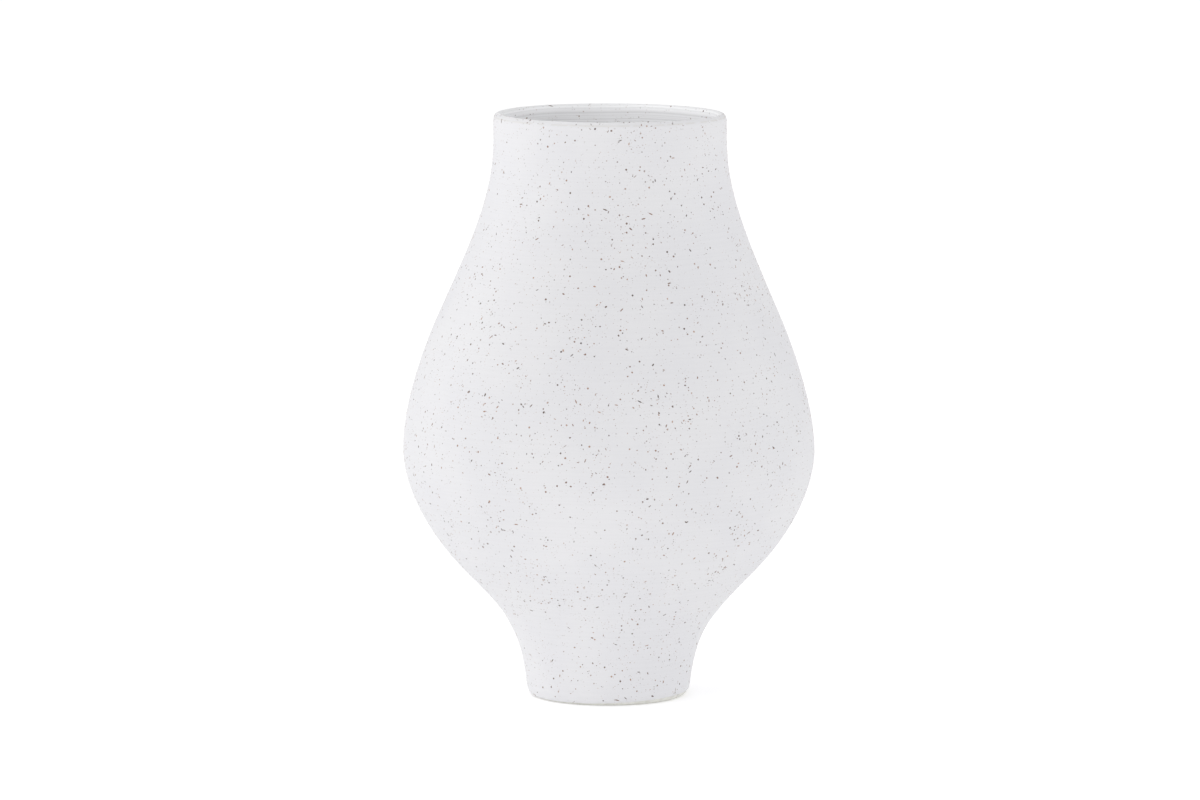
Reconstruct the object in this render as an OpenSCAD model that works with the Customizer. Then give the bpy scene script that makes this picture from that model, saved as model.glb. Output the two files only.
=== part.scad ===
// Wide-mouthed table vase: speckled stoneware thrown in one piece, with a matt white glaze outside
// and a liner glaze inside. Millimetres, +Z up. The origin is the centre of the circle it stands on.

/* [Overall] */
// Height from the table to the crest of the lip, over the glaze
height = 250; // [240:1:270]
// Widest diameter, over the glaze
belly_d = 175.8; // [168:0.2:186]
// Height of the widest diameter above the table
belly_z = 106.2; // [98:0.2:114]
// Outside diameter of the mouth, over the glaze
mouth_d = 99.2; // [92:0.2:106]

/* [Outline] */
// Diameter of the clay where the waist turns into the belly
waist_d = 124.8; // [116:0.2:132]
// Height of that turn above the table
waist_z = 55.1; // [48:0.1:60]
// Outward lean of the wall at that turn, from upright, in degrees
waist_lean = 44; // [36:0.5:52]
// Diameter of the clay where the belly turns into the shoulder
shoulder_d = 146.4; // [138:0.2:152]
// Height of that turn above the table
shoulder_z = 161.8; // [154:0.2:170]
// Inward lean of the wall at that turn, from upright, in degrees
shoulder_lean = 23.5; // [18:0.5:30]
// Height of the straight band under the crest of the lip
neck_band = 11.4; // [9:0.2:14]

/* [Wall] */
// Thickness of the clay at the lip
lip_wall = 3.2; // [2.6:0.1:4]
// Height of the lip's rounding in the clay
lip_round = 2.6; // [1.6:0.1:4]
// Thickness of the clay just above the foot
foot_wall = 6.6; // [5:0.1:8]
// Thickness of the clay floor, above the recess
floor_t = 5.5; // [4:0.1:7]

/* [Foot] */
// Outside diameter of the turned foot, above its rounded edge
foot_d = 69.4; // [64:0.2:76]
// Width of the foot's rounded edge
edge_w = 3.4; // [2:0.1:5]
// Height of the foot's rounded edge
edge_h = 5.4; // [3.5:0.1:8]
// Outward lean of the foot's side, sideways for each unit of height
foot_lean = 0.11; // [0:0.01:0.2]
// Width of the flat ring that the vase stands on
ring_w = 4.5; // [3:0.5:6]
// Depth of the recess turned under the foot
recess_depth = 2.5; // [1.5:0.1:3]

/* [Glaze] */
// Thickness of each glaze coat
glaze_t = 0.4; // [0.2:0.05:0.6]
// Height of the glaze line, below which the clay is bare
glaze_line = 1.4; // [0.8:0.1:3]
// How far the outer glaze laps down inside the mouth, from the crest
lap = 6; // [5:0.5:8]

/* [Curves] */
// Reach of the wall's curve upwards from the foot
foot_pull = 25; // [20:0.5:30]
// Reach of the wall's curve downwards from the waist
waist_pull_down = 23.5; // [18:0.5:28]
// Reach of the wall's curve upwards from the waist
waist_pull_up = 24.4; // [19:0.2:30]
// Reach of the wall's curve downwards from the belly
belly_pull_down = 14; // [10:0.5:20]
// Reach of the wall's curve upwards from the belly
belly_pull_up = 18; // [13:0.5:24]
// Reach of the wall's curve downwards from the shoulder
shoulder_pull_down = 14.6; // [10:0.2:20]
// Reach of the wall's curve upwards from the shoulder
shoulder_pull_up = 31.8; // [26:0.2:37]
// Reach of the wall's curve downwards from the neck
neck_pull = 25; // [20:0.5:31]
// Share of the foot's rounded edge that its curve's handles cover
corner_pull = 0.6; // [0.4:0.05:0.8]
// Share of the wall's first curve that the floor's bowl takes up
bowl_start = 0.2; // [0.1:0.05:0.3]
// Reach of the bowl's curve down the wall
bowl_pull = 9; // [5:0.5:12]
// Reach of the bowl's curve across the floor
floor_pull = 17; // [12:0.5:22]
// Straight pieces along each curve of the wall
wall_steps = 14; // [8:1:24]
// Straight pieces round the lip and round each rounded corner
corner_steps = 8; // [4:1:16]

/* [Hidden] */
$fn = 120;
// Margin of a cutting solid past what it cuts
past = 1;

// Sizes of the clay under its glaze
belly_r = belly_d / 2 - glaze_t;
mouth_r = mouth_d / 2 - glaze_t;
clay_top = height - glaze_t;
lip_r = lip_wall / 2;
lip_centre = [mouth_r - lip_r, clay_top - lip_round];
bore_r = mouth_r - lip_wall;
lap_z = height - lap;
foot_r = foot_d / 2;
stand_r = foot_r - edge_w;
recess_r = stand_r - ring_w;
floor_z = recess_depth + floor_t;

// The joints of the outline as [radius, height], and the upward direction of the wall at each
foot_top = [foot_r, edge_h];
waist = [waist_d / 2, waist_z];
belly = [belly_r, belly_z];
shoulder = [shoulder_d / 2, shoulder_z];
neck = [mouth_r, height - neck_band];
upright = [0, 1];
foot_way = [foot_lean, 1];
waist_way = [sin(waist_lean), cos(waist_lean)];
shoulder_way = [-sin(shoulder_lean), cos(shoulder_lean)];

// The outside of the clay in curves of four control points each, from the foot up
edge_curve = [
    [stand_r, 0],
    [stand_r + corner_pull * edge_w, 0],
    foot_top - corner_pull * edge_h * foot_way,
    foot_top
];
wall_curves = [
    [foot_top, foot_top + foot_pull * foot_way, waist - waist_pull_down * waist_way, waist],
    [waist, waist + waist_pull_up * waist_way, belly - belly_pull_down * upright, belly],
    [belly, belly + belly_pull_up * upright, shoulder - shoulder_pull_down * shoulder_way, shoulder],
    [shoulder, shoulder + shoulder_pull_up * shoulder_way, neck - neck_pull * upright, neck]
];
last = len(wall_curves) - 1;

// The point at t, from 0 to 1, on a curve of four control points
function along(c, t) =
    pow(1 - t, 3) * c[0] + 3 * t * pow(1 - t, 2) * c[1] + 3 * t * t * (1 - t) * c[2] + pow(t, 3) * c[3];

// The direction of the curve at t, one unit long
function heading(c, t) =
    let (d = pow(1 - t, 2) * (c[1] - c[0]) + 2 * t * (1 - t) * (c[2] - c[1]) + t * t * (c[3] - c[2]))
    d / norm(d);

// The point at t, moved off the curve to its right by d
function beside(c, t, d) =
    let (way = heading(c, t))
    along(c, t) + d * [way[1], -way[0]];

// The clay is thick at the foot and thins evenly towards the neck
function wall_at(z) = lip_wall + (foot_wall - lip_wall) * (1 - z / neck[1]);

// The inner wall's point behind the outer curve's point at t, with d more laid on it
function inside(c, t, d) = beside(c, t, -wall_at(along(c, t)[1]) - d);

// The floor is a shallow bowl that the inner wall runs into
bowl_rim = inside(wall_curves[0], bowl_start, 0);
bowl_curve = [
    bowl_rim,
    bowl_rim - bowl_pull * heading(wall_curves[0], bowl_start),
    [floor_pull, floor_z],
    [0, floor_z]
];

// The lip is half an oval, from the outside over the crest to the bore
function lip(d) = [
    for (i = [0 : corner_steps])
        let (a = 180 * i / corner_steps)
        lip_centre + [(lip_r + d) * cos(a), (lip_round + d) * sin(a)]
];

// The whole outer face from the foot to the bore side of the lip, with d laid on the clay
function outer_face(d) = concat(
    [for (i = [0 : corner_steps - 1]) beside(edge_curve, i / corner_steps, d)],
    [for (c = wall_curves, i = [0 : wall_steps - 1]) beside(c, i / wall_steps, d)],
    [beside(wall_curves[last], 1, d)],
    lip(d)
);

// The inner face from the neck down to the middle of the floor, with d laid on the clay
function inner_face(d) = concat(
    [for (k = [last : -1 : 1], i = [wall_steps : -1 : 1]) inside(wall_curves[k], i / wall_steps, d)],
    [for (i = [wall_steps : -1 : 1]) inside(wall_curves[0], bowl_start + (1 - bowl_start) * i / wall_steps, d)],
    [for (i = [0 : corner_steps]) beside(bowl_curve, i / corner_steps, d)]
);

function backwards(list) = [for (i = [len(list) - 1 : -1 : 0]) list[i]];

// The thrown and turned shell: wall, rounded lip, floor, and the foot ring round a shallow recess
module clay_body() {
    under_foot = [[0, recess_depth], [recess_r - recess_depth, recess_depth], [recess_r, 0]];
    color([0.70, 0.67, 0.60])
        rotate_extrude()
            polygon(concat(outer_face(0), inner_face(0), under_foot));
}

// The matt white coat: up the outside from the glaze line, over the lip and a little way down the bore
module outer_glaze() {
    lap_end = [[bore_r - glaze_t, lap_z], [bore_r, lap_z]];
    color([0.93, 0.92, 0.91])
        difference() {
            rotate_extrude()
                polygon(concat(outer_face(glaze_t), lap_end, backwards(outer_face(0))));
            translate([0, 0, -past])
                cylinder(h = glaze_line + past, r = foot_r + past);
        }
}

// The waterproof coat inside: from the end of the outer glaze's lap down over the whole floor
module liner_glaze() {
    top_out = [[bore_r, lap_z]];
    top_in = [[bore_r - glaze_t, lap_z]];
    color([0.88, 0.87, 0.85])
        rotate_extrude()
            polygon(concat(top_out, inner_face(0), backwards(inner_face(glaze_t)), top_in));
}

clay_body();
outer_glaze();
liner_glaze();
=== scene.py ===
import math

import bpy
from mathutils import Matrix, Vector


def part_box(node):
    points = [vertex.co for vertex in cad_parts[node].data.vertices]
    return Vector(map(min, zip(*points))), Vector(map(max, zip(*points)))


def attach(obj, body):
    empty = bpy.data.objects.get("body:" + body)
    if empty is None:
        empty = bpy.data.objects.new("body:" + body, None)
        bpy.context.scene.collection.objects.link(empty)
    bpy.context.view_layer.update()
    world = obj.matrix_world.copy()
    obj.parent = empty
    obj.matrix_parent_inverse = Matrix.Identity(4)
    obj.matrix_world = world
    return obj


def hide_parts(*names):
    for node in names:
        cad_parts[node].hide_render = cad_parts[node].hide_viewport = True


# Table vase in speckled stoneware. Everything is in metres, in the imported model's own frame:
# +Z up, origin at the centre of the circle that the foot stands on.

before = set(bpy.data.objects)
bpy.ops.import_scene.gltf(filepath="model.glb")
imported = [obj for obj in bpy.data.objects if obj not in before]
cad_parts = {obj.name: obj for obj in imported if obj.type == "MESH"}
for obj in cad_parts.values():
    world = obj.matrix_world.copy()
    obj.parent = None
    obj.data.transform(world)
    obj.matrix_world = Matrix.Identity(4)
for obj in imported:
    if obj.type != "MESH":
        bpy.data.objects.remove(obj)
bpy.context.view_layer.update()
print("stage 1: packed model loaded,", len(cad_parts), "nodes")


class Wire:
    # One output of a node, so that node maths reads as ordinary arithmetic

    def __init__(self, tree, socket=None):
        self.tree = tree
        self.socket = socket

    def add(self, kind, settings=None, inputs=None, out=0):
        # any node: its settings are set first, then the values or links of its sockets
        node = self.tree.nodes.new(kind)
        for key, value in (settings or {}).items():
            if key == "stops":
                fillRamp(node.color_ramp, value)
            else:
                setattr(node, key, value)
        for key, value in (inputs or {}).items():
            socket = pick(node.inputs, key)
            for one in value if isinstance(value, list) else [value]:
                if isinstance(one, Wire):
                    self.tree.links.new(one.socket, socket)
                else:
                    socket.default_value = one
        return Wire(self.tree, pick(node.outputs, out)) if node.outputs else Wire(self.tree)

    def other(self, name):
        return Wire(self.tree, pick(self.socket.node.outputs, name))

    def maths(self, operation, *others, clamp=False):
        values = dict(enumerate((self, *others)))
        return self.add("ShaderNodeMath", {"operation": operation, "use_clamp": clamp}, values)

    def __add__(self, more):
        return self.maths("ADD", more)

    def __radd__(self, more):
        return self.maths("ADD", more)

    def __sub__(self, less):
        return self.maths("SUBTRACT", less)

    def __rsub__(self, whole):
        return self.add("ShaderNodeMath", {"operation": "SUBTRACT"}, {0: whole, 1: self})

    def __mul__(self, factor):
        if isinstance(factor, tuple):
            return self.add("ShaderNodeVectorMath", {"operation": "MULTIPLY"}, {0: self, 1: factor})
        return self.maths("MULTIPLY", factor)

    def __truediv__(self, share):
        return self.maths("DIVIDE", share)

    def __gt__(self, bar):
        return self.maths("GREATER_THAN", bar)

    def __lt__(self, bar):
        return self.maths("LESS_THAN", bar)

    def ramp(self, low, high, toLow=0.0, toHigh=1.0):
        # smooth step from low to high
        values = {"Value": self, "From Min": low, "From Max": high, "To Min": toLow, "To Max": toHigh}
        return self.add("ShaderNodeMapRange", {"interpolation_type": "SMOOTHSTEP"}, values)

    def xyz(self):
        parts = self.add("ShaderNodeSeparateXYZ", inputs={0: self})
        return [parts, parts.other(1), parts.other(2)]


def pick(sockets, key):
    if isinstance(key, int):
        return sockets[key]
    return next(s for s in sockets if s.enabled and s.name == key)


def fillRamp(ramp, stops):
    while len(ramp.elements) < len(stops):
        ramp.elements.new(0.5)
    for element, (place, colour) in zip(ramp.elements, stops):
        element.position = place
        element.color = colour


def widest(node):
    low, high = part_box(node)
    return max(high.x, high.y, -low.x, -low.y)


_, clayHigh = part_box("clay_body")
_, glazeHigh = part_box("outer_glaze")
linerLow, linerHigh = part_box("liner_glaze")

vase = {
    "Top": clayHigh.z,  # crest of the clay lip
    "Belly Radius": widest("clay_body"),
    "Belly Height": 0.1062,
    "Mouth Radius": 0.0492,
    "Neck Height": 0.2386,
    "Waist Radius": 0.0624,
    "Waist Height": 0.0551,
    "Waist Lean": math.radians(44.0),
    "Shoulder Radius": 0.0732,
    "Shoulder Height": 0.1618,
    "Shoulder Lean": math.radians(-23.5),
    "Lip Wall": 0.0032,
    "Lip Round": 0.0026,
    "Foot Radius": 0.0347,
    "Edge Width": 0.0034,
    "Edge Height": 0.0054,
    "Foot Lean": 0.11,
    "Foot Wall": 0.0066,
    "Coat": glazeHigh.z - clayHigh.z,  # thickness of the glaze
    "Lap Height": linerHigh.z,  # where the outer glaze ends inside the mouth
    "Floor Height": linerLow.z,
    "Recess Depth": 0.0025,
    "Ring Width": 0.0045,
}
pull = {  # how far each curve runs straight out of the joints of the outline
    "foot": 0.0250,
    "waistDown": 0.0235,
    "waistUp": 0.0244,
    "bellyDown": 0.0140,
    "bellyUp": 0.0180,
    "shoulderDown": 0.0146,
    "shoulderUp": 0.0318,
    "neck": 0.0250,
    "bowlWall": 0.009,
    "bowlFloor": 0.017,
    "corner": 0.6,  # of a rounded corner's side
    "lip": 0.5523,  # of the lip's half width and rounding, which makes an oval
}
bowlStart = 0.20  # share of the first wall curve that the floor's bowl takes up
segments = 192
weldGap = 0.00001
curveSteps = 48
crestRadius = vase["Mouth Radius"] - vase["Lip Wall"] * 0.5
crestFade = 0.0006
insideLow, insideHigh = 0.20, 0.21  # the inside of the neck starts between these heights
upright = (0.0, 0.0, 1.0)


def newTree(name, sizes):
    # a geometry tree with one named input for each size
    tree = bpy.data.node_groups.new(name, "GeometryNodeTree")
    for label, value in sizes.items():
        kind = "NodeSocketInt" if isinstance(value, int) else "NodeSocketFloat"
        socket = tree.interface.new_socket(label, in_out="INPUT", socket_type=kind)
        socket.default_value = value
    tree.interface.new_socket("Geometry", in_out="OUTPUT", socket_type="NodeSocketGeometry")
    source = tree.nodes.new("NodeGroupInput")
    return tree, Wire(tree), {label: Wire(tree, source.outputs[label]) for label in sizes}


def point(wire, radius, height):
    return wire.add("ShaderNodeCombineXYZ", inputs={0: radius, 2: height})


def moved(wire, start, way, reach):
    return wire.add("ShaderNodeVectorMath", {"operation": "MULTIPLY_ADD"}, {0: way, 1: (reach,) * 3, 2: start})


def leaning(wire, lean):
    return point(wire, lean.maths("SINE"), lean.maths("COSINE"))


def bend(wire, start, startPull, endPull, end):
    ends = {"Start": start, "Start Handle": startPull, "End Handle": endPull, "End": end}
    ends["Resolution"] = curveSteps
    return wire.add("GeometryNodeCurvePrimitiveBezierSegment", {"mode": "POSITION"}, ends)


def line(wire, start, end):
    return wire.add("GeometryNodeCurvePrimitiveLine", inputs={"Start": start, "End": end})


def between(wire, start, startWay, startPull, end, endWay, endPull):
    return bend(wire, start, moved(wire, start, startWay, startPull), moved(wire, end, endWay, -endPull), end)


def outlines(wire, s):
    # the outside of the clay in the XZ plane, as curves that run from the foot over the lip to the bore
    footWay = point(wire, s["Foot Lean"], 1.0)
    waistWay = leaning(wire, s["Waist Lean"])
    shoulderWay = leaning(wire, s["Shoulder Lean"])
    stand = s["Foot Radius"] - s["Edge Width"]
    foot = point(wire, s["Foot Radius"], s["Edge Height"])
    waist = point(wire, s["Waist Radius"], s["Waist Height"])
    belly = point(wire, s["Belly Radius"], s["Belly Height"])
    shoulder = point(wire, s["Shoulder Radius"], s["Shoulder Height"])
    neck = point(wire, s["Mouth Radius"], s["Neck Height"])
    lipBase = s["Top"] - s["Lip Round"]
    lipMiddle = s["Mouth Radius"] - s["Lip Wall"] * 0.5
    bore = s["Mouth Radius"] - s["Lip Wall"]
    lipAcross = s["Lip Wall"] * (0.5 * pull["lip"])
    lipUp = s["Lip Round"] * pull["lip"]
    lipOut = point(wire, s["Mouth Radius"], lipBase)
    lipIn = point(wire, bore, lipBase)
    crest = point(wire, lipMiddle, s["Top"])
    edgeOut = point(wire, stand + s["Edge Width"] * pull["corner"], 0.0)
    edgeUp = point(
        wire,
        s["Foot Radius"] - s["Foot Lean"] * s["Edge Height"] * pull["corner"],
        s["Edge Height"] * (1 - pull["corner"]),
    )
    lapEnd = point(wire, bore, s["Lap Height"])
    overOut = [point(wire, s["Mouth Radius"], lipBase + lipUp), point(wire, lipMiddle + lipAcross, s["Top"])]
    overIn = [point(wire, lipMiddle - lipAcross, s["Top"]), point(wire, bore, lipBase + lipUp)]
    return {
        "edge": bend(wire, point(wire, stand, 0.0), edgeOut, edgeUp, foot),
        "waist": between(wire, foot, footWay, pull["foot"], waist, waistWay, pull["waistDown"]),
        "hip": between(wire, waist, waistWay, pull["waistUp"], belly, upright, pull["bellyDown"]),
        "shoulder": between(wire, belly, upright, pull["bellyUp"], shoulder, shoulderWay, pull["shoulderDown"]),
        "neck": between(wire, shoulder, shoulderWay, pull["shoulderUp"], neck, upright, pull["neck"]),
        "band": line(wire, neck, lipOut),
        "lipOut": bend(wire, lipOut, *overOut, crest),
        "lipIn": bend(wire, crest, *overIn, lipIn),
        "lap": line(wire, lipIn, lapEnd),
        "bore": line(wire, lapEnd, point(wire, bore, s["Neck Height"])),
    }


def sampled(wire, curve, factor):
    values = {"Curves": curve, "Factor": factor}
    spot = wire.add("GeometryNodeSampleCurve", {"mode": "FACTOR"}, values, "Position")
    return spot, spot.other("Tangent")


def beside(spot, tangent, along, lift):
    # the radius and height of a point lifted off a curve to its right
    radius, _, height = spot.xyz()
    outward, _, upward = tangent.xyz()
    if callable(lift):
        lift = lift(along, height)
    return radius + upward * lift, height - outward * lift


def wallAt(s, height):
    return s["Lip Wall"] + (s["Foot Wall"] - s["Lip Wall"]) * (1 - height / s["Neck Height"])


def bowl(wire, s, curve):
    # the curve that the inner wall runs into, across to the middle of the floor
    spot, tangent = sampled(wire, curve["waist"], bowlStart)
    rim = point(wire, *beside(spot, tangent, None, lambda _, height: wallAt(s, height) * -1.0))
    wallPull = moved(wire, rim, tangent, -pull["bowlWall"])
    floorPull = point(wire, pull["bowlFloor"], s["Floor Height"])
    return bend(wire, rim, wallPull, floorPull, point(wire, 0.0, s["Floor Height"]))


def turned(wire, curve, rings, lift=0.0, start=0.0, end=1.0):
    # one stretch of an outline turned about the axis, lifted off it to its right
    shape = {"Vertices": segments, "Side Segments": rings, "Radius": 1.0, "Depth": 1.0}
    tube = wire.add("GeometryNodeMeshCylinder", {"fill_type": "NONE"}, shape)
    east, north, up = wire.add("GeometryNodeInputPosition").xyz()
    along = up + 0.5
    if callable(start):
        start = start(east, north)
    spot, tangent = sampled(wire, curve, start + along * (end - start))
    radius, height = beside(spot, tangent, along, lift)
    place = wire.add("ShaderNodeCombineXYZ", inputs={0: east * radius, 1: north * radius, 2: height})
    return wire.add("GeometryNodeSetPosition", inputs={"Geometry": tube, "Position": place})


def flipped(wire, mesh):
    return wire.add("GeometryNodeFlipFaces", inputs={"Mesh": mesh})


def welded(wire, strips):
    mesh = wire.add("GeometryNodeJoinGeometry", inputs={"Geometry": strips})
    return wire.add("GeometryNodeMergeByDistance", inputs={"Geometry": mesh, "Distance": weldGap})


handwork = {
    "wander": 0.00035,  # how far the axis wanders to one side and back
    "wanderPitch": 0.185,
    "wanderPeak": 0.042,
    "footAside": -0.0005,  # the foot was turned a little off centre
    "footTop": 0.034,
    "footBlend": 0.004,
    "oval": 0.0008,  # share of the radius
    "ovalTwist": 30.0,
    "lipDrop": 0.00015,
    "ripple": 0.00008,
    "ripplePitch": 0.0067,
    "ridge": 0.00003,  # rings left inside the mouth by the potter's fingers
    "ridgePitch": 0.0011,
}


def throwingLines(wire, height, pitch):
    values = {"W": height, "Scale": 1 / pitch, "Detail": 1.0}
    return wire.add("ShaderNodeTexNoise", {"noise_dimensions": "1D"}, values) - 0.5


def uneven(wire, mesh):
    # the small unevenness of hand work, the same for every piece at the same place
    east, north, up = wire.add("GeometryNodeInputPosition").xyz()
    phase = (up - handwork["wanderPeak"]) * (2 * math.pi / handwork["wanderPitch"])
    aside = phase.maths("COSINE") * handwork["wander"]
    footLow, footHigh = [handwork["footTop"] + way * handwork["footBlend"] for way in (-1, 1)]
    aside = aside + up.ramp(footLow, footHigh, handwork["footAside"], 0.0)
    swell = (north.maths("ARCTAN2", east) * 2 + up * handwork["ovalTwist"]).maths("SINE") * handwork["oval"]
    reach = (east * east + north * north).maths("SQRT").maths("MAXIMUM", 0.001)
    inside = reach.ramp(crestRadius, crestRadius - crestFade) * up.ramp(insideLow, insideHigh)
    ripple = throwingLines(wire, up, handwork["ripplePitch"]) * handwork["ripple"]
    ripple = ripple + throwingLines(wire, up, handwork["ridgePitch"]) * handwork["ridge"] * inside
    swell = swell + ripple / reach
    drop = (east / reach + 1) * up.ramp(insideLow, vase["Top"]) * -handwork["lipDrop"]
    shift = wire.add("ShaderNodeCombineXYZ", inputs={0: east * swell + aside, 1: north * swell, 2: drop})
    return wire.add("GeometryNodeSetPosition", inputs={"Geometry": mesh, "Offset": shift})


crispAngle = math.radians(50.0)  # coats end in an edge sharper than this


def finished(wire, mesh, material):
    mesh = wire.add("GeometryNodeSetShadeSmooth", inputs={"Geometry": mesh, "Shade Smooth": True})
    flat = wire.add("GeometryNodeInputMeshEdgeAngle") < crispAngle
    mesh = wire.add("GeometryNodeSetShadeSmooth", {"domain": "EDGE"}, {"Geometry": mesh, "Shade Smooth": flat})
    mesh = wire.add("GeometryNodeRealizeInstances", inputs={"Geometry": mesh})
    mesh = wire.add("GeometryNodeSetMaterial", inputs={"Geometry": mesh, "Material": material})
    out = wire.tree.nodes.new("NodeGroupOutput")
    wire.tree.links.new(mesh.socket, out.inputs["Geometry"])


def make(name, tree, sizes, replaced=None):
    holder = bpy.data.objects.new(name + "Holder", bpy.data.meshes.new(name + "Holder"))
    bpy.context.scene.collection.objects.link(holder)
    modifier = holder.modifiers.new(name, "NODES")
    modifier.node_group = tree
    for item in tree.interface.items_tree:
        if item.in_out == "INPUT":
            modifier[item.identifier] = sizes[item.name]
    graph = bpy.context.evaluated_depsgraph_get()
    mesh = bpy.data.meshes.new_from_object(holder.evaluated_get(graph), depsgraph=graph)
    mesh.name = name
    piece = bpy.data.objects.new(name, mesh)
    bpy.context.scene.collection.objects.link(piece)
    bpy.data.objects.remove(holder)
    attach(piece, "root")
    if replaced:
        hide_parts(replaced)
    print("   ", name, len(mesh.polygons), "faces")


def newMaterial(name):
    material = bpy.data.materials.new(name)
    material.use_nodes = True
    material.node_tree.nodes.clear()
    return material, Wire(material.node_tree)


def endMaterial(material, wire, surface, height=None):
    if height is not None:  # in metres
        relief = {"Height": height, "Distance": 1.0, "Strength": 1.0}
        surface["Normal"] = wire.add("ShaderNodeBump", inputs=relief)
    shader = wire.add("ShaderNodeBsdfPrincipled", inputs=surface)
    out = material.node_tree.nodes.new("ShaderNodeOutputMaterial")
    material.node_tree.links.new(shader.socket, out.inputs["Surface"])
    return material


def over(wire, under, colour, mask):
    return wire.add("ShaderNodeMix", {"data_type": "RGBA"}, {"Factor": mask, "A": under, "B": colour}, "Result")


def noiseAt(wire, place, scale, detail=2.0):
    return wire.add("ShaderNodeTexNoise", {}, {"Vector": place, "Scale": scale, "Detail": detail})


def turningLines(wire, place, pitch):
    # rings left by the potter's fingers and tools, level with the wheel
    _, _, up = place.xyz()
    drift = noiseAt(wire, place, 25.0, 1.0) * 0.0016
    values = {"W": up + drift, "Scale": 1 / pitch, "Detail": 2.0}
    return wire.add("ShaderNodeTexNoise", {"noise_dimensions": "1D"}, values)


def dots(wire, place, spacing, radius, share, soft):
    # round grains cut by the surface: a mask and a random number for each grain
    cell = wire.add("ShaderNodeTexVoronoi", {}, {"Vector": place, "Scale": 1 / spacing}, "Distance")
    chance, size, tone = cell.other("Color").xyz()
    bar = (size * 0.6 + 0.4) * (radius / spacing)
    edge = (bar - cell) * (spacing / (radius * soft))
    return edge.maths("ADD", 0.0, clamp=True) * (chance < share), tone


def roughness(wire, place, look):
    spread = look["roughSpread"]
    return noiseAt(wire, place, look["roughScale"]) * spread + (look["roughness"] - spread / 2)


glazeLook = {
    "white": (0.718, 0.715, 0.731, 1),
    "cloud": (0.700, 0.698, 0.719, 1),
    "cloudScale": 28.0,
    "linePitch": 0.0012,
    "lineDepth": 0.000014,
    "lineShade": 0.014,
    "mouthShade": 0.13,
    "grainDepth": 0.00003,
    "roughness": 0.6,
    "paintedMouthLight": (0.92, 0.92, 0.932, 1),  # painted light: inside the lip the glaze is lightened to stand in for light falling into the mouth, until its tone looked right
    "paintedMouthLightReach": 0.0016,
    "thin": (0.58, 0.55, 0.50, 1),  # where the glaze breaks over the lip and the clay shows through
    "thinAmount": 0.35,
    "thinBand": ((0.0020, 0.0015), (0.0009, 0.0014)),  # below the crest: where it fades in and out
    "thinScale": 250.0,
    "dots": ((0.0024, 0.00016, 0.75), (0.0030, 0.00024, 0.35)),  # spacing, radius, share of them
    "grainScale": 1400.0,
    "roughScale": 700.0,
    "roughSpread": 0.1,
    "faint": [(0.0, (0.42, 0.41, 0.42, 1)), (0.5, (0.45, 0.36, 0.30, 1)), (1.0, (0.36, 0.26, 0.20, 1))],
    "faintAmount": 0.55,
}
linerLook = {
    **glazeLook,
    # painted light: the liner's white and cloud are lighter than the outer glaze's, standing in for light
    # inside the vase
    "white": (0.86, 0.86, 0.875, 1),
    "cloud": (0.84, 0.84, 0.86, 1),
    "lineDepth": 0.00008,
    "lineShade": 0.02,
    "roughness": 0.5,
}


def glazeMaterial(name, look):
    material, wire = newMaterial(name)
    place = wire.add("ShaderNodeTexCoord", out="Object")
    _, _, up = place.xyz()
    clouds = noiseAt(wire, place, look["cloudScale"], 4.0).ramp(0.35, 0.65)
    colour = over(wire, look["white"], look["cloud"], clouds)
    lip = vase["Top"] + vase["Coat"]
    reach = wire.add("ShaderNodeVectorMath", {"operation": "LENGTH"}, {0: place * (1, 1, 0)}, "Value")
    overLip = crestRadius + look["paintedMouthLightReach"]
    inside = reach.ramp(overLip, crestRadius - crestFade) * up.ramp(insideLow, insideHigh)
    # painted light: the glaze inside the mouth takes a lighter colour
    colour = over(wire, colour, look["paintedMouthLight"], inside)
    lines = turningLines(wire, place, look["linePitch"])
    # painted shade: the colour darkens along the turning lines, much more inside the mouth
    shade = 1 - lines.ramp(0.6, 0.35) * (inside * look["mouthShade"] + look["lineShade"])
    colour = wire.add("ShaderNodeVectorMath", {"operation": "SCALE"}, {0: colour, "Scale": shade})
    fadeIn, fadeOut = [up.ramp(lip - low, lip - high) for low, high in look["thinBand"]]
    thin = fadeIn * fadeOut
    thin = thin * noiseAt(wire, place, look["thinScale"]).ramp(0.3, 0.5) * (1 - inside) * look["thinAmount"]
    colour = over(wire, colour, look["thin"], thin)
    for spacing, radius, share in look["dots"]:
        mask, tone = dots(wire, place, spacing, radius, share, 0.6)
        ink = wire.add("ShaderNodeValToRGB", {"stops": look["faint"]}, {"Fac": tone})
        colour = over(wire, colour, ink, mask * look["faintAmount"])
    rough = roughness(wire, place, look)
    height = lines * look["lineDepth"] + noiseAt(wire, place, look["grainScale"], 3.0) * look["grainDepth"]
    return endMaterial(material, wire, {"Base Color": colour, "Roughness": rough}, height)


clayLook = {
    "body": (0.73, 0.73, 0.69, 1),
    "dark": (0.63, 0.625, 0.585, 1),
    "grain": (0.13, 0.10, 0.08, 1),
    "pale": (0.80, 0.79, 0.75, 1),
    "mottleScale": 350.0,
    "dots": (0.0016, 0.00022, 0.6),  # spacing, radius, share of them
    "grainScale": 1100.0,
    "grainDepth": 0.0001,
    "linePitch": 0.0009,
    "lineDepth": 0.00006,
    "roughness": 0.85,
    "roughScale": 500.0,
    "roughSpread": 0.1,
}


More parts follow.
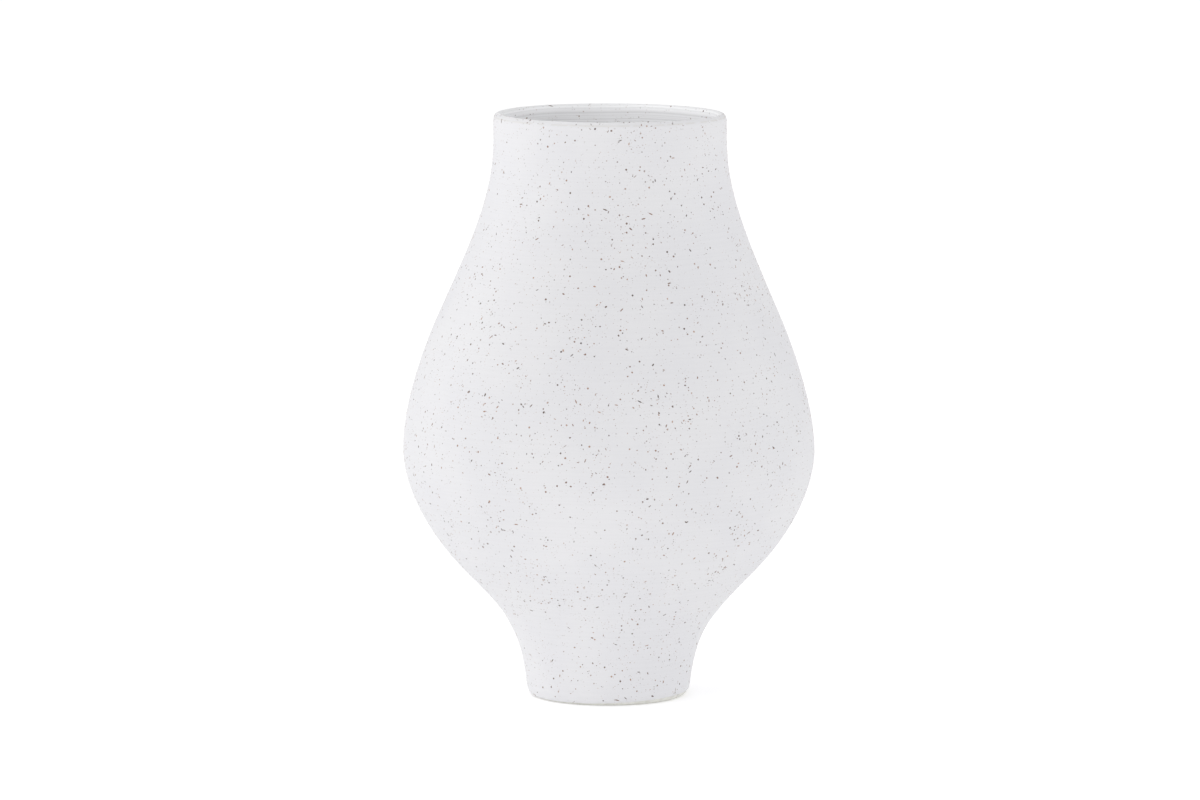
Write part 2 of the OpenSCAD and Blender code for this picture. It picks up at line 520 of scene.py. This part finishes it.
def clayMaterial(name, look):
    material, wire = newMaterial(name)
    place = wire.add("ShaderNodeTexCoord", out="Object")
    mottle = noiseAt(wire, place, look["mottleScale"], 4.0).ramp(0.35, 0.7)
    colour = over(wire, look["body"], look["dark"], mottle)
    mask, tone = dots(wire, place, *look["dots"], 0.4)
    colour = over(wire, colour, over(wire, look["grain"], look["pale"], tone.ramp(0.3, 0.7)), mask)
    grit = noiseAt(wire, place, look["grainScale"], 4.0) * look["grainDepth"]
    height = grit + turningLines(wire, place, look["linePitch"]) * look["lineDepth"]
    rough = roughness(wire, place, look)
    return endMaterial(material, wire, {"Base Color": colour, "Roughness": rough}, height)


speckLook = {
    "tones": [
        (0.00, (0.055, 0.036, 0.030, 1)),
        (0.30, (0.110, 0.061, 0.042, 1)),
        (0.60, (0.250, 0.141, 0.100, 1)),
        (0.85, (0.420, 0.275, 0.205, 1)),
        (1.00, (0.360, 0.345, 0.340, 1)),
    ],
    "bleed": (0.65, 0.605, 0.575, 1),  # the glaze round a grain, stained by it
    "roughness": 0.6,
    "roughScale": 2500.0,
    "roughSpread": 0.2,
}


def speckMaterial(name, look):
    material, wire = newMaterial(name)
    core = wire.add("ShaderNodeAttribute", {"attribute_name": "core"}, out="Fac")
    tone = wire.add("ShaderNodeAttribute", {"attribute_name": "tone"}, out="Fac")
    ink = wire.add("ShaderNodeValToRGB", {"stops": look["tones"]}, {"Fac": tone})
    colour = over(wire, look["bleed"], ink, core.ramp(0.0, 0.8))
    place = wire.add("ShaderNodeTexCoord", out="Object")
    return endMaterial(material, wire, {"Base Color": colour, "Roughness": roughness(wire, place, look)})


whiteGlaze = glazeMaterial("whiteGlaze", glazeLook)
linerGlazeSkin = glazeMaterial("linerGlaze", linerLook)
stoneware = clayMaterial("stoneware", clayLook)
ironStain = speckMaterial("ironStain", speckLook)
print("stage 2: materials")

# the outer glaze goes up the outside from the glaze line, over the lip and a little way down the bore
glazeLine = {
    "Line Start": 0.38,  # share of the foot's rounded edge that stays bare
    "Line Tilt": 0.16,
    "Line Wave": 0.10,
    "Line Taper": 0.15,
}


def glazeStart(wire, s):
    def start(east, north):
        around = wire.add("ShaderNodeCombineXYZ", inputs={0: east, 1: north})
        wave = noiseAt(wire, around, 3.0, 3.0) - 0.5
        return s["Line Start"] + s["Line Tilt"] * east + s["Line Wave"] * wave

    return start


outerRings = {
    "edge": 10,
    "waist": 40,
    "hip": 50,
    "shoulder": 40,
    "neck": 60,
    "band": 8,
    "lipOut": 7,
    "lipIn": 7,
    "lap": 14,
}


def outerFront(wire, s, curve):
    def taper(along, _):
        return s["Coat"] * (along / s["Line Taper"]).maths("MINIMUM", 1.0).maths("POWER", 0.5)

    strips = [turned(wire, curve["edge"], outerRings["edge"], taper, glazeStart(wire, s))]
    strips += [turned(wire, curve[k], n, s["Coat"]) for k, n in outerRings.items() if k != "edge"]
    return strips


def outerGlazeTree():
    tree, wire, s = newTree("outerGlazeTree", {**vase, **glazeLine})
    curve = outlines(wire, s)
    strips = outerFront(wire, s, curve)
    strips.append(turned(wire, curve["lap"], 1, lambda along, _: s["Coat"] * (1 - along), 1.0, 1.0))
    for name, rings in outerRings.items():
        start = glazeStart(wire, s) if name == "edge" else 0.0
        strips.append(flipped(wire, turned(wire, curve[name], max(2, rings // 3), 0.0, start)))
    finished(wire, uneven(wire, welded(wire, strips)), whiteGlaze)
    return tree


make("outerGlaze", outerGlazeTree(), {**vase, **glazeLine}, "outer_glaze")
print("stage 3: outer glaze")

# the liner glaze goes from the end of the outer glaze's lap down over the whole floor
innerRings = {"bore": 20, "neck": 150, "shoulder": 40, "hip": 30, "waist": 30}
floorRings = 20
hiddenShare = 0.25  # of the rings, where a coat hides the surface


def innerWall(wire, s, curve, rings, coat, share=1.0):
    # the inner wall, which lies behind the outer curves, from the top down
    def lift(_, height):
        return (wallAt(s, height) + coat) * -1.0

    strips = [turned(wire, curve["bore"], round(rings["bore"] * share), coat)]
    for name, count in rings.items():
        end = bowlStart if name == "waist" else 0.0
        if name != "bore":
            strips.append(turned(wire, curve[name], round(count * share), lift, 1.0, end))
    return strips


def linerGlazeTree():
    tree, wire, s = newTree("linerGlazeTree", vase)
    curve = outlines(wire, s)
    floor = bowl(wire, s, curve)
    strips = innerWall(wire, s, curve, innerRings, s["Coat"])
    strips.append(turned(wire, floor, floorRings, s["Coat"]))
    strips.append(turned(wire, curve["bore"], 1, lambda along, _: s["Coat"] * along, 0.0, 0.0))
    backs = innerWall(wire, s, curve, innerRings, 0.0, hiddenShare) + [turned(wire, floor, 8)]
    strips += [flipped(wire, back) for back in backs]
    finished(wire, uneven(wire, welded(wire, strips)), linerGlazeSkin)
    return tree


make("linerGlaze", linerGlazeTree(), vase, "liner_glaze")
print("stage 4: liner glaze")

# the clay body is the shell under both coats, bare at the foot and underneath
clayRings = {
    "edge": 16,
    "waist": 14,
    "hip": 16,
    "shoulder": 14,
    "neck": 18,
    "band": 3,
    "lipOut": 4,
    "lipIn": 4,
    "lap": 2,
}


def clayBodyTree():
    tree, wire, s = newTree("clayBodyTree", vase)
    curve = outlines(wire, s)
    strips = [turned(wire, curve[k], n) for k, n in clayRings.items()]
    strips += innerWall(wire, s, curve, innerRings, 0.0, hiddenShare) + [turned(wire, bowl(wire, s, curve), 8)]
    stand = s["Foot Radius"] - s["Edge Width"]
    recess = stand - s["Ring Width"]
    middle = point(wire, 0.0, s["Recess Depth"])
    shoulderIn = point(wire, recess - s["Recess Depth"], s["Recess Depth"])
    ringIn = point(wire, recess, 0.0)
    strips.append(turned(wire, line(wire, middle, shoulderIn), 30))
    strips.append(turned(wire, line(wire, shoulderIn, ringIn), 4))
    strips.append(turned(wire, line(wire, ringIn, point(wire, stand, 0.0)), 6))
    finished(wire, uneven(wire, welded(wire, strips)), stoneware)
    return tree


make("clayBody", clayBodyTree(), vase, "clay_body")
print("stage 5: clay body")

# iron specks are grains of the clay that stain the glaze, scattered over everything that shows
grains = {
    "ironSpecks": {
        "Per Square Metre": 69000.0,
        "Smallest": 0.00018,
        "Largest": 0.00060,
        "Skew": 2.5,  # above 1, small grains outnumber the large ones
        "Longest": 4.5,  # times as long as wide
        "Height": 0.00006,
        "Sides": 5,
        "Crown": 0.55,  # share of the foot of a grain that its top measures
        "Seed": 7,
    },
    "fineSpecks": {
        "Per Square Metre": 165000.0,
        "Smallest": 0.00012,
        "Largest": 0.00028,
        "Skew": 1.4,
        "Longest": 2.0,
        "Height": 0.00003,
        "Sides": 4,
        "Crown": 0.0,
        "Seed": 23,
    },
}


def chance(wire, high, seed):
    limits = {"Min": 0.0, "Max": high, "Seed": seed}
    return wire.add("FunctionNodeRandomValue", {"data_type": "FLOAT"}, limits, "Value")


def stored(wire, mesh, name, value, domain):
    settings = {"data_type": "FLOAT", "domain": domain}
    values = {"Geometry": mesh, "Name": name, "Value": value}
    return wire.add("GeometryNodeStoreNamedAttribute", settings, values)


speckedRings = {"bore": 20, "neck": 40, "shoulder": 20}  # specks stop where nobody sees the inside


def speckTree(name, sizes):
    tree, wire, s = newTree(name + "Tree", sizes)
    curve = outlines(wire, s)
    strips = outerFront(wire, s, curve) + innerWall(wire, s, curve, speckedRings, s["Coat"])
    skin = uneven(wire, welded(wire, strips))
    crowd = noiseAt(wire, wire.add("GeometryNodeInputPosition"), 70.0).ramp(0.3, 0.7, 0.4, 1.6)
    scatter = {"Mesh": skin, "Density": s["Per Square Metre"] * crowd, "Seed": s["Seed"]}
    points = wire.add("GeometryNodeDistributePointsOnFaces", {"distribute_method": "RANDOM"}, scatter, "Points")
    shape = {"Vertices": s["Sides"], "Radius Top": s["Crown"], "Radius Bottom": 1.0, "Depth": 1.0}
    grain = wire.add("GeometryNodeMeshCone", {"fill_type": "NGON"}, shape)
    _, _, up = wire.add("GeometryNodeInputPosition").xyz()
    grain = stored(wire, grain, "core", up, "POINT")
    grain = wire.add("GeometryNodeSetPosition", inputs={"Geometry": grain, "Offset": (0.0, 0.0, -0.4)})
    size = s["Smallest"] + (s["Largest"] - s["Smallest"]) * chance(wire, 1.0, 11).maths("POWER", s["Skew"])
    stretch = 1 + chance(wire, 1.0, 12).maths("POWER", 5.0) * (s["Longest"] - 1)
    narrow = size / stretch.maths("POWER", 0.4)
    scale = wire.add("ShaderNodeCombineXYZ", inputs={0: narrow * stretch, 1: narrow, 2: s["Height"]})
    placing = {"Points": points, "Instance": grain, "Rotation": points.other("Rotation"), "Scale": scale}
    crumbs = wire.add("GeometryNodeInstanceOnPoints", inputs=placing)
    spin = wire.add("ShaderNodeCombineXYZ", inputs={2: chance(wire, 2 * math.pi, 13)})
    crumbs = wire.add("GeometryNodeRotateInstances", inputs={"Instances": crumbs, "Rotation": spin})
    crumbs = stored(wire, crumbs, "tone", chance(wire, 1.0, 14), "INSTANCE")
    crumbs = wire.add("GeometryNodeRealizeInstances", inputs={"Geometry": crumbs})
    corners = wire.add("GeometryNodeInputPosition")
    jitter = wire.add("ShaderNodeTexNoise", {}, {"Vector": corners, "Scale": 4000.0}, "Color")
    jitter = wire.add("ShaderNodeVectorMath", {"operation": "SUBTRACT"}, {0: jitter, 1: (0.5, 0.5, 0.5)})
    jitter = wire.add("ShaderNodeVectorMath", {"operation": "SCALE"}, {0: jitter, "Scale": s["Smallest"] * 0.9})
    crumbs = wire.add("GeometryNodeSetPosition", inputs={"Geometry": crumbs, "Offset": jitter})
    finished(wire, crumbs, ironStain)
    return tree


for name, grain in grains.items():
    sizes = {**vase, **glazeLine, **grain}
    make(name, speckTree(name, sizes), sizes)
print("stage 6: iron specks")

# floor, light and camera
studio = {
    "floorReach": 30.0,
    "floorTones": (0.95, 0.94),
    "glowFoot": 0.205,  # the floor glows as a lit table, a little brighter close by and further off; the extra glow round the foot is painted light that fills in its shadow
    "glowNear": 0.175,
    "glowFar": 0.235,
    "footGlowEnds": (0.22, 0.08),
    "farGlowEnds": (0.5, 3.0),
    "sky": 0.836,
    "boxSize": 1.3,
    "boxes": {  # place, watts, colour
        "leftFront": ((-1.7, -1.6, 1.1), 7.5, (1.0, 1.0, 1.0)),
        "leftBack": ((-2.2, 0.8, 1.0), 10.5, (1.0, 1.0, 1.0)),
        "right": ((2.2, 0.2, 0.9), 6.8, (0.97, 0.98, 1.0)),
        "front": ((0.0, -2.4, 0.8), 2.6, (1.0, 1.0, 1.0)),
    },
    "snootPlace": (-0.30, -0.85, 1.75),  # a narrow beam through the mouth onto its far wall
    "snootReach": 0.039,
    "snootPower": 54.0,
    "snootBlend": 0.4,
    "snootSoftness": 0.01,
}


def softBox(name, place, power, colour):
    lamp = bpy.data.lights.new(name, "AREA")
    lamp.size = studio["boxSize"]
    lamp.energy = power
    lamp.color = colour
    holder = bpy.data.objects.new(name, lamp)
    bpy.context.scene.collection.objects.link(holder)
    holder.location = place
    aim = Vector((0, 0, vase["Belly Height"])) - Vector(place)
    holder.rotation_euler = aim.to_track_quat("-Z", "Y").to_euler()


reach = studio["floorReach"]
corners = [(east * reach, north * reach, 0) for east, north in ((-1, -1), (1, -1), (1, 1), (-1, 1))]
floorMesh = bpy.data.meshes.new("floor")
floorMesh.from_pydata(corners, [], [(0, 1, 2, 3)])
floor = bpy.data.objects.new("floor", floorMesh)
bpy.context.scene.collection.objects.link(floor)
paper, wire = newMaterial("palePaper")
place = wire.add("ShaderNodeTexCoord", out="Object")
light, dark = [(tone,) * 3 + (1,) for tone in studio["floorTones"]]
paperColour = over(wire, light, dark, noiseAt(wire, place, 2.0))
away = wire.add("ShaderNodeVectorMath", {"operation": "LENGTH"}, {0: place}, "Value")
foot, near, far = [(studio[k],) * 3 + (1,) for k in ("glowFoot", "glowNear", "glowFar")]
glow = over(wire, near, far, away.ramp(*studio["farGlowEnds"]))
# painted light: the floor glows brighter round the foot, filling in the foot's shadow
glow = over(wire, glow, foot, away.ramp(*studio["footGlowEnds"]))
surface = {"Base Color": paperColour, "Roughness": 0.9, "Emission Color": glow, "Emission Strength": 1.0}
floorMesh.materials.append(endMaterial(paper, wire, surface))

world = bpy.data.worlds.new("studio")
bpy.context.scene.world = world
world.use_nodes = True
sky = world.node_tree.nodes["Background"].inputs
sky["Color"].default_value = (1, 1, 1, 1)
sky["Strength"].default_value = studio["sky"]
for name, (place, power, colour) in studio["boxes"].items():
    softBox(name, place, power, colour)
place = Vector(studio["snootPlace"])
beam = Vector((0, 0, vase["Top"])) - place
snoot = bpy.data.lights.new("snoot", "SPOT")
snoot.energy = studio["snootPower"]
snoot.spot_size = 2 * math.atan(studio["snootReach"] / beam.length)
snoot.spot_blend = studio["snootBlend"]
snoot.shadow_soft_size = studio["snootSoftness"]
snootHolder = bpy.data.objects.new("snoot", snoot)
bpy.context.scene.collection.objects.link(snootHolder)
snootHolder.location = place
snootHolder.rotation_euler = beam.to_track_quat("-Z", "Y").to_euler()
bpy.context.scene.view_settings.view_transform = "Standard"

shot = {
    "distance": 3.0,
    "elevation": 7.335,
    "aimHeight": 0.12682,
    "aside": -0.00397,
    "lens": 210.7,
    "sensorWidth": 36.0,
    "clipEnd": 100.0,
}
camera = bpy.data.objects.new("camera", bpy.data.cameras.new("camera"))
bpy.context.scene.collection.objects.link(camera)
camera.data.lens = shot["lens"]
camera.data.sensor_width = shot["sensorWidth"]
tilt = math.radians(shot["elevation"])
back = shot["distance"] * math.cos(tilt)
camera.location = (shot["aside"], -back, shot["aimHeight"] + shot["distance"] * math.sin(tilt))
camera.rotation_euler = (math.pi / 2 - tilt, 0, 0)
camera.data.clip_end = shot["clipEnd"]
bpy.context.scene.camera = camera
print("stage 7: studio")
